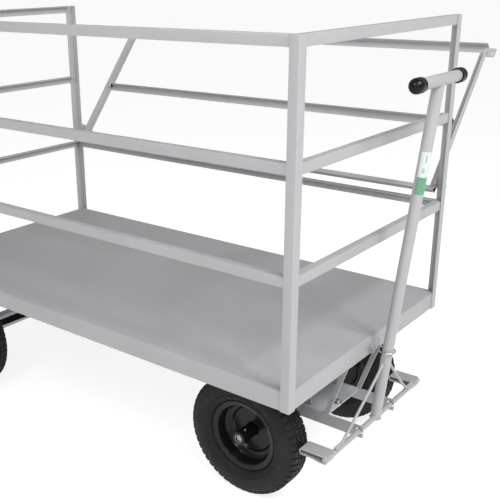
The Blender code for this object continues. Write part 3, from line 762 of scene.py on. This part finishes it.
def shoes():
    """Each shoe: a strip bent back on itself, its nose towards the tyre, corners rounded in plan."""
    mid = joint_at("drawbar_tilt")
    thick = 0.004
    for side, way in SIDES:
        low, high = box_in(f"brake_shoe_{side}")
        top, nose = high.z - mid.z, low.x - mid.x
        fall, over, under = -0.0085, top - thick, low.z - mid.z + thick
        radius = (top - 0.001 - fall) / 2
        centre = (nose + radius, (top - 0.001 + fall) / 2)
        turns = [pi / 2 + pi * k / 20 for k in range(21)]
        outer = [(0.0036, top), (0.0, top), (-0.012, top - 0.0002), (-0.030, top - 0.0005)]
        outer.append((-0.060, top - 0.001))
        outer += [(centre[0] + radius * cos(a), centre[1] + radius * sin(a)) for a in turns]
        outer += [(-0.060, fall), (-0.047, fall), (-0.042, fall - 0.0003), (-0.024, under - thick + 0.0006),
                  (-0.019, under - thick), (0.0036, under - thick)]
        inner = [(0.0036, under), (-0.018, under), (-0.023, under + 0.0004), (-0.041, fall + thick),
                 (-0.060, fall + thick)]
        inner += [(centre[0] + (radius - thick) * cos(a), centre[1] + (radius - thick) * sin(a))
                  for a in reversed(turns)]
        inner += [(-0.060, over - 0.001), (-0.030, over - 0.0005), (0.0036, over)]
        outline = [(mid.x + x, mid.z + z) for x, z in outer + inner]
        rings, big, small = [], 0.010, 0.003
        steps = [0.0, 0.04, 0.15, 0.35, 0.65, 1.0]
        rows = [low.y + big * t for t in steps] + [high.y - big * t for t in reversed(steps)]
        for y in rows:
            outside = y - low.y if way < 0 else high.y - y
            edge = min(outside, big)
            front = big - sqrt(max(0.0, big ** 2 - (big - edge) ** 2))
            edge = min(y - low.y, high.y - y, small)
            back = small - sqrt(max(0.0, small ** 2 - (small - edge) ** 2))
            ring = []
            for x, z in outline:
                ahead = min(1.0, max(0.0, (x - mid.x + 0.012) / 0.0156)) if z > mid.z else 0.0
                behind = min(1.0, max(0.0, (low.x + 0.022 - x) / 0.022))
                ring.append((x + back * behind - front * ahead, y, z))
            rings.append(ring)
        piece(f"shoe_strip_{side}", stack(rings), GREY, "drawbar", [f"brake_shoe_{side}"], edge=0.0004)
        inside = high.y if way < 0 else low.y
        line = [(mid.x + 0.0052, inside + way * a, mid.z + over + 0.0004) for a in (0.004, 0.040)]
        piece(f"shoe_weld_{side}", bead(line, 0.0018), GREY, "drawbar", edge=0)


def keeper():
    """The lug on the platform's front and the bent wire hook that holds the drawbar upright."""
    low, high = box_in("keeper_lug")
    hinge = joint_at("keeper_lift")
    outline = [(low.x, low.z), (hinge.x + 0.004, low.z + 0.001), (high.x, hinge.z)]
    outline += [(hinge.x + 0.004, high.z - 0.001), (low.x, high.z)]
    outline = rounded(outline, [0.0003, 0.006, 0.008, 0.006, 0.0003])
    eye = plate("y", low.y, high.y, outline, [circle(hinge.x, hinge.z, 0.0031, 24)])
    piece("keeper_eye", eye, GREY, "chassis", ["keeper_lug"], edge=0.0003)
    place = Matrix.Translation(JOINTS["keeper_lift"]["pos_m"])
    path = [(0, -0.0145, 0), (0, -0.008, 0), (0, 0.006, 0), (0, 0.0115, 0), (0.0008, 0.0165, 0.0010),
            (0.0040, 0.0218, 0.0030), (0.0095, 0.0228, 0.0048), (0.0138, 0.0188, 0.0058),
            (0.0175, 0.0105, 0.0060), (0.0220, -0.0005, 0.0060), (0.0262, -0.0065, 0.0060)]
    turns = [-pi / 2 - 0.35 + pi * 1.22 * k / 12 for k in range(13)]
    path += [(0.0455 + 0.0235 * cos(a), 0.0125 + 0.0235 * sin(a), 0.006) for a in turns]
    path += [(0.0210, 0.0250, 0.0085), (0.0162, 0.0135, 0.0150)]
    path += [(0.0147, 0.0102, 0.0240), (0.0145, 0.0090, 0.0400)]
    hook = wire(spline(path, 5), 0.0025, 16, 0.0012)
    piece("keeper_wire", hook, ZINC, "keeper", ["keeper_hook"], place, edge=0)


def label():
    """A plain two-tone label round the drawbar, with small bars and flecks where printing would be."""
    radius = 0.0170
    start, finish = radians(-105), radians(38)
    band, top, split, bottom = 0.00025, 0.888, 0.8145, 0.763

    def patch(z0, z1, t0, t1, proud=0):
        inner, outer = radius + 0.00005, radius + band + proud
        n = max(3, int((t1 - t0) / 0.05))
        rings = []
        for k in range(n + 1):
            t = t0 + (t1 - t0) * k / n
            corners = rectangle(inner, z0, outer, z1)
            rings.append([(r * cos(t), r * sin(t), z) for r, z in corners])
        return stack(rings)

    def marks(rows):
        """Printed marks; each row is its lowest and highest place and its two fractions of the way round."""
        return merged(*[patch(z0, z1, start + (finish - start) * a, start + (finish - start) * b, 0.00006)
                        for z0, z1, a, b in rows])

    piece("label_upper", patch(split, top, start, finish), WHITE_INK, "drawbar", place=DRAW, edge=0)
    piece("label_lower", patch(bottom, split - 0.0002, start, finish), GREEN_INK, "drawbar", place=DRAW,
          edge=0)
    script = [(0.8585 + 0.0042 * k, 0.8610 + 0.0042 * k, 0.36, 0.44 + 0.02 * (k % 2)) for k in range(5)]
    block = [(0.8285, 0.8305, 0.25, 0.41), (0.8330, 0.8370, 0.26, 0.32), (0.8330, 0.8370, 0.35, 0.41),
             (0.8395, 0.8410, 0.26, 0.38)]
    piece("label_marks", marks(script + block), DARK_INK, "drawbar", place=DRAW, edge=0)
    leaves = []
    for k in range(11):
        z, a = 0.7665 + 0.0040 * k, 0.22 + 0.50 * ((k * 0.618) % 1.0)
        leaves.append((z, z + 0.0030, a, a + 0.05 + 0.04 * ((k * 0.37) % 1.0)))
    piece("label_bars", marks(leaves), DEEP_GREEN, "drawbar", place=DRAW, edge=0)


def tread_block(profile, start, end, skew):
    """A tread block: a closed (across, radius) outline from one angle to another, its top edges drawn in."""
    rings, inset = [], 0.0035
    top = max(r for _, r in profile)
    middle = (start + end) / 2
    for t, low in ((start, 0.0007), (start + inset, 0.0), (middle, 0.0), (end - inset, 0.0), (end, 0.0007)):
        ring = []
        for o, r in profile:
            turn = t + skew * o
            drop = low if r > top - 0.0045 else 0.0
            ring.append(((r - drop) * cos(turn), (r - drop) * sin(turn), o))
        rings.append(ring)
    return stack(rings)


def tyre_shape():
    """Sidewalls with moulded rings, a grooved crown and blocks of tread."""
    line = [(0.1042, 0.0262), (0.1110, 0.0268), (0.1180, 0.0284), (0.1200, 0.0302), (0.1222, 0.0350),
            (0.1300, 0.0415), (0.1380, 0.0466), (0.1470, 0.0490), (0.1560, 0.0498), (0.1650, 0.0493),
            (0.1740, 0.0476), (0.1815, 0.0452), (0.1872, 0.0425), (0.1918, 0.0385), (0.1952, 0.0320),
            (0.1966, 0.0200), (0.1968, 0.0)]
    side = [(p.x, p.y) for p in spline([(*p, 0) for p in line], 7)]
    ribs = [(0.1262, 0.0012, 0.0010), (0.1417, 0.0014, 0.0024), (0.1770, 0.0009, 0.0007)]
    skin = []
    for r, o in side:
        for at, width, height in ribs:
            o += height * exp(-((r - at) / width) ** 2)
        skin.append((r, o))
    carcass = skin + [(r, -o) for r, o in reversed(skin[:-1])]
    liner = [(0.1042, 0.0150), (0.1150, 0.0180), (0.1300, 0.0380)]
    liner += [(0.1550, 0.0430), (0.1780, 0.0370), (0.1880, 0.0200)]
    shapes = [lathe(carcass + [(r, -o) for r, o in liner] + liner[::-1], 120)]
    shoulder = [(0.0215, 0.1930), (0.0215, 0.19985), (0.0320, 0.1996), (0.0385, 0.1965),
                (0.0418, 0.1915), (0.0446, 0.1848), (0.0400, 0.1845), (0.0330, 0.1920)]
    shoulder = rounded(shoulder, [0, 0.0008, 0.003, 0.004, 0.003, 0.0008, 0, 0], 3)
    inner = [(0.0022, 0.1935), (0.0022, 0.2000), (0.0165, 0.19995), (0.0165, 0.1935)]
    inner = rounded(inner, [0, 0.0008, 0.0008, 0], 3)
    pitch = 2 * pi / TREAD_PITCHES
    for k in range(TREAD_PITCHES):
        for way in (1, -1):
            shift = 0.0 if way > 0 else pitch / 2
            start = k * pitch + shift
            blocks = ((shoulder, start, start + pitch * 0.72, 0.0),
                      (inner, start + pitch * 0.40, start + pitch * 1.14, 5.0 * way))
            for outline, a, b, skew in blocks:
                shapes.append(tread_block([(o * way, r) for o, r in outline], a, b, skew))
    return merged(*shapes)


def rim_shape():
    """The pressed rim: rolled flanges, a stepped disc and the hub, all one steel piece."""
    hub = 0.0225
    flange = [(0.1000, 0.0285), (0.1165, 0.0330), (0.1188, 0.0322), (0.1188, 0.0302), (0.1030, 0.0265)]
    shape = [(0.0104, 0.0536), (hub, 0.0536), (hub, -0.0265), (0.0725, -0.0265)]
    shape += [(0.0790, -0.0180), (0.0900, -0.0160), (0.0985, -0.0090), (0.0998, -0.0040), *flange]
    bends = [0.0004, 0.0012, 0.0030, 0.0040, 0.0030, 0.0040, 0.0040, 0.0100]
    bends += [0.0050, 0.0014, 0.0010, 0.0010, 0.0030]
    shape += [(r, -o) for r, o in reversed(flange)]
    bends += [0.0030, 0.0010, 0.0010, 0.0014, 0.0050]
    shape += [(0.0998, -0.0150), (0.0905, -0.0188), (0.0810, -0.0207), (0.0745, -0.0293), (hub, -0.0293),
              (hub, -0.0378), (0.0104, -0.0378)]
    bends += [0.0030, 0.0040, 0.0030, 0.0040, 0.0030, 0.0012, 0.0004]
    return lathe(rounded(shape, bends, 5), 128)


def wheels():
    """Four wheels: a tyre, its rim, a collar on the hub's end, the hub's weld and a grease nipple."""
    tyre, rim = tyre_shape(), rim_shape()
    collar = [(0.0106, 0.0500), (0.0106, 0.0545), (0.0132, 0.0545), (0.0140, 0.0537), (0.0140, 0.0500)]
    collar = lathe(rounded(collar, 0.0004), 48)
    bead_ring = ring_bead(0.0232, -0.0262, 0.0019)
    body = lathe([(0, 0), (0.0028, 0), (0.0028, 0.0028), (0.0018, 0.0036), (0.0018, 0.0050), (0.0026, 0.0058),
                  (0.0022, 0.0078), (0.0010, 0.0084), (0, 0.0084)], 20)
    nut = hexagon(0.0068, -0.0006, 0.0026, 0.0004)
    for name in ("front_near", "front_far", "rear_near", "rear_far"):
        hub = Vector(JOINTS[f"wheel_{name}_spin"]["pos_m"])
        way = -1 if "near" in name else 1
        place = along((0, way, 0), hub)
        carrier = f"wheel_{name}"
        piece(f"tyre_cover_{name}", tyre, RUBBER, carrier, [f"tyre_{name}"], place, edge=0)
        piece(f"rim_pressing_{name}", rim, ENAMEL, carrier, [f"rim_{name}"], place, edge=0)
        piece(f"hub_collar_{name}", collar, DULL_STEEL, carrier, place=place, edge=0)
        piece(f"hub_weld_{name}", bead_ring, ENAMEL, carrier, place=place, edge=0)
        up = place.inverted().to_3x3() @ Vector((0.35, 0, 0.94)).normalized()
        nipple = moved(merged(body, nut), along(up, up * 0.0222 + Vector((0, 0, 0.030))))
        piece(f"grease_nipple_{name}", nipple, ZINC, carrier, place=place, edge=0)


def cage_welds():
    """Short upright beads where the rails meet the posts and the posts meet the platform."""
    deck_lo, deck_hi = box_in("deck")
    post_lo, post_hi = box_in("post_front_near")
    leg = post_hi.x - post_lo.x
    inside_x, inside_y = deck_hi.x, deck_hi.y
    out = []
    for level in ("top", "mid", "lower"):
        low, high = box_in(f"rail_near_{level}")
        z0, z1 = low.z + 0.003, high.z - 0.003
        for sx in (-1, 1):
            for sy in (-1, 1) if level == "lower" else (-1,):
                x, y = sx * (inside_x + 0.003 - leg), sy * (inside_y + 0.0002)
                out.append(upright_bead(x, y, z0, z1, 0.0016))
            x, y = sx * (inside_x + 0.0002), -(inside_y + 0.003 - leg)
            out.append(upright_bead(x, y, z0, z1, 0.0016))
    z0, z1 = deck_lo.z + 0.004, deck_hi.z - 0.006
    for sx in (-1, 1):
        for sy in (-1, 1):
            x, y = sx * (inside_x + 0.003 - leg), sy * (inside_y + 0.0002)
            out.append(upright_bead(x, y, z0, z1, 0.0018))
            x, y = sx * (inside_x + 0.0002), sy * (inside_y + 0.003 - leg)
            out.append(upright_bead(x, y, z0, z1, 0.0018))
    piece("cage_welds", merged(*out), GREY, "chassis", edge=0)


def carriage_welds():
    """Beads at the struts' ends, and short stitches between the floor plate and the tow bars."""
    out = []
    for side, way in SIDES:
        low, high = box_in(f"strut_{side}")
        y = (low.y if way > 0 else high.y) + way * 0.0006
        for x, z in ((low.x, low.z), (high.x - STRUT_WIDE, high.z)):
            out.append(bead([(x + 0.002, y, z), (x + 0.015, y, z)], 0.0018))
        bar_low, bar_high = box_in(f"tow_bar_{side}")
        edge = bar_low.y if way > 0 else bar_high.y
        plate_low, plate_high = box_in("base_plate")
        y, z = edge - way * 0.0006, plate_high.z
        for a in (0.010, 0.070, 0.125):
            out.append(bead([(plate_low.x + a, y, z), (plate_low.x + a + 0.028, y, z)], 0.0020))
    piece("carriage_welds", merged(*out), FRAME_GREY, "fore_carriage", edge=0)


def underframe_welds():
    """Beads along the foot and the head of each rear bracket."""
    out = []
    for side in ("near", "far"):
        low, high = box_in(f"rear_bracket_{side}")
        x = (low.x + high.x) / 2
        for y in (low.y - 0.0004, high.y + 0.0004):
            out.append(bead([(x - 0.040, y, low.z), (x + 0.019, y, low.z)], 0.0020))
            z = high.z - 0.0006
            out.append(bead([(low.x + 0.010, y, z), (high.x - 0.010, y, z)], 0.0020))
    piece("underframe_welds", merged(*out), FRAME_GREY, "chassis", edge=0)


def gate_welds():
    """A bead at each end of the gate's middle rail."""
    low, high = box_in("gate_rail_mid", GATE)
    y = high.y - 0.0030
    out = [upright_bead(x, y, low.z + 0.003, high.z - 0.003, 0.0015) for x in (low.x, high.x)]
    piece("gate_welds", merged(*out), GREY, "side_gate", place=GATE, edge=0)


# ---------------- camera, light, floor

def camera():
    """The photograph's view, given in the trolley's own frame."""
    data = bpy.data.cameras.new("camera")
    data.sensor_width, data.lens = 36.0, 58.47
    data.shift_x, data.shift_y = 0.1173, 0.025
    data.clip_end = 60
    found = new_object("camera", data)
    yaw, pitch, roll = (radians(a) for a in (50.424, 19.811, -0.854))
    ahead = Vector((-cos(yaw) * cos(pitch), sin(yaw) * cos(pitch), -sin(pitch)))
    right = ahead.cross(Vector((0, 0, 1))).normalized()
    up = right.cross(ahead)
    side, top = right * cos(roll) + up * sin(roll), up * cos(roll) - right * sin(roll)
    turn = Matrix((side, top, -ahead)).transposed().to_4x4()
    found.matrix_world = HOME @ Matrix.Translation((1.9463, -2.1442, 1.5872)) @ turn
    bpy.context.scene.camera = found


def lamp(name, at, aim, size, power, colour=(1, 1, 1)):
    """A rectangular softbox at a place, turned towards another."""
    data = bpy.data.lights.new(name, "AREA")
    data.shape, data.size, data.size_y = "RECTANGLE", size[0], size[1]
    data.energy, data.color = power, colour
    found = new_object(name, data)
    found.location = at
    found.rotation_mode = "QUATERNION"
    found.rotation_quaternion = (Vector(aim) - Vector(at)).to_track_quat("-Z", "Y")


def studio():
    """A pale floor that gives off light, a sky that is brighter ahead of the trolley, and four softboxes."""
    world = bpy.data.worlds.new("studio")
    world.use_nodes = True
    tree = world.node_tree
    shade = tree.nodes["Background"]
    coords = tree.nodes.new("ShaderNodeTexCoord")
    split = tree.nodes.new("ShaderNodeSeparateXYZ")
    tree.links.new(coords.outputs["Generated"], split.inputs["Vector"])
    behind, before = (0.355, 0.357, 0.36), (0.47, 0.47, 0.475)
    ahead = ramp(tree, split.outputs["X"], [(0.0, behind), (0.9, before)])
    tree.links.new(ahead, shade.inputs["Color"])
    shade.inputs["Strength"].default_value = 1.0
    bpy.context.scene.world = world
    lamp("key", (3.6, -0.75, 4.2), (0.45, -0.05, 0.45), (1.5, 1.5), 160, (1.0, 0.995, 0.99))
    lamp("side_box", (0.5, -2.7, 2.9), (0.5, 0, 0.9), (0.9, 0.9), 33)
    lamp("front_box", (2.9, -2.3, 3.4), (0.7, 0, 0.6), (1.0, 1.0), 37)
    lamp("spark", (1.6, -4.2, 2.2), (0.5, 0, 0.3), (0.45, 0.45), 12)
    mesh = bpy.data.meshes.new("floor")
    half = 60.0
    mesh.from_pydata([(*p, 0) for p in rectangle(-half, -half, half, half)], [], [(0, 1, 2, 3)])
    floor = new_object("floor", mesh)
    material, tree, shader, coords = nodes_of("pale_floor", 0.9)
    mottled(tree, coords, shader, "Base Color", 1.5, 3.0, 0.34, 0.35)
    shader.inputs["Emission Color"].default_value = (1, 1, 1, 1)
    shader.inputs["Emission Strength"].default_value = 0.80
    mesh.materials.append(material)
    bpy.context.scene.view_settings.view_transform = "Standard"


camera()
studio()
bars()
platform()
gate_ends()
axles()
rear_brackets()
turntable()
bolster()
tow_frame()
drawbar()
stays()
shoes()
keeper()
label()
wheels()
cage_welds()
carriage_welds()
underframe_welds()
gate_welds()
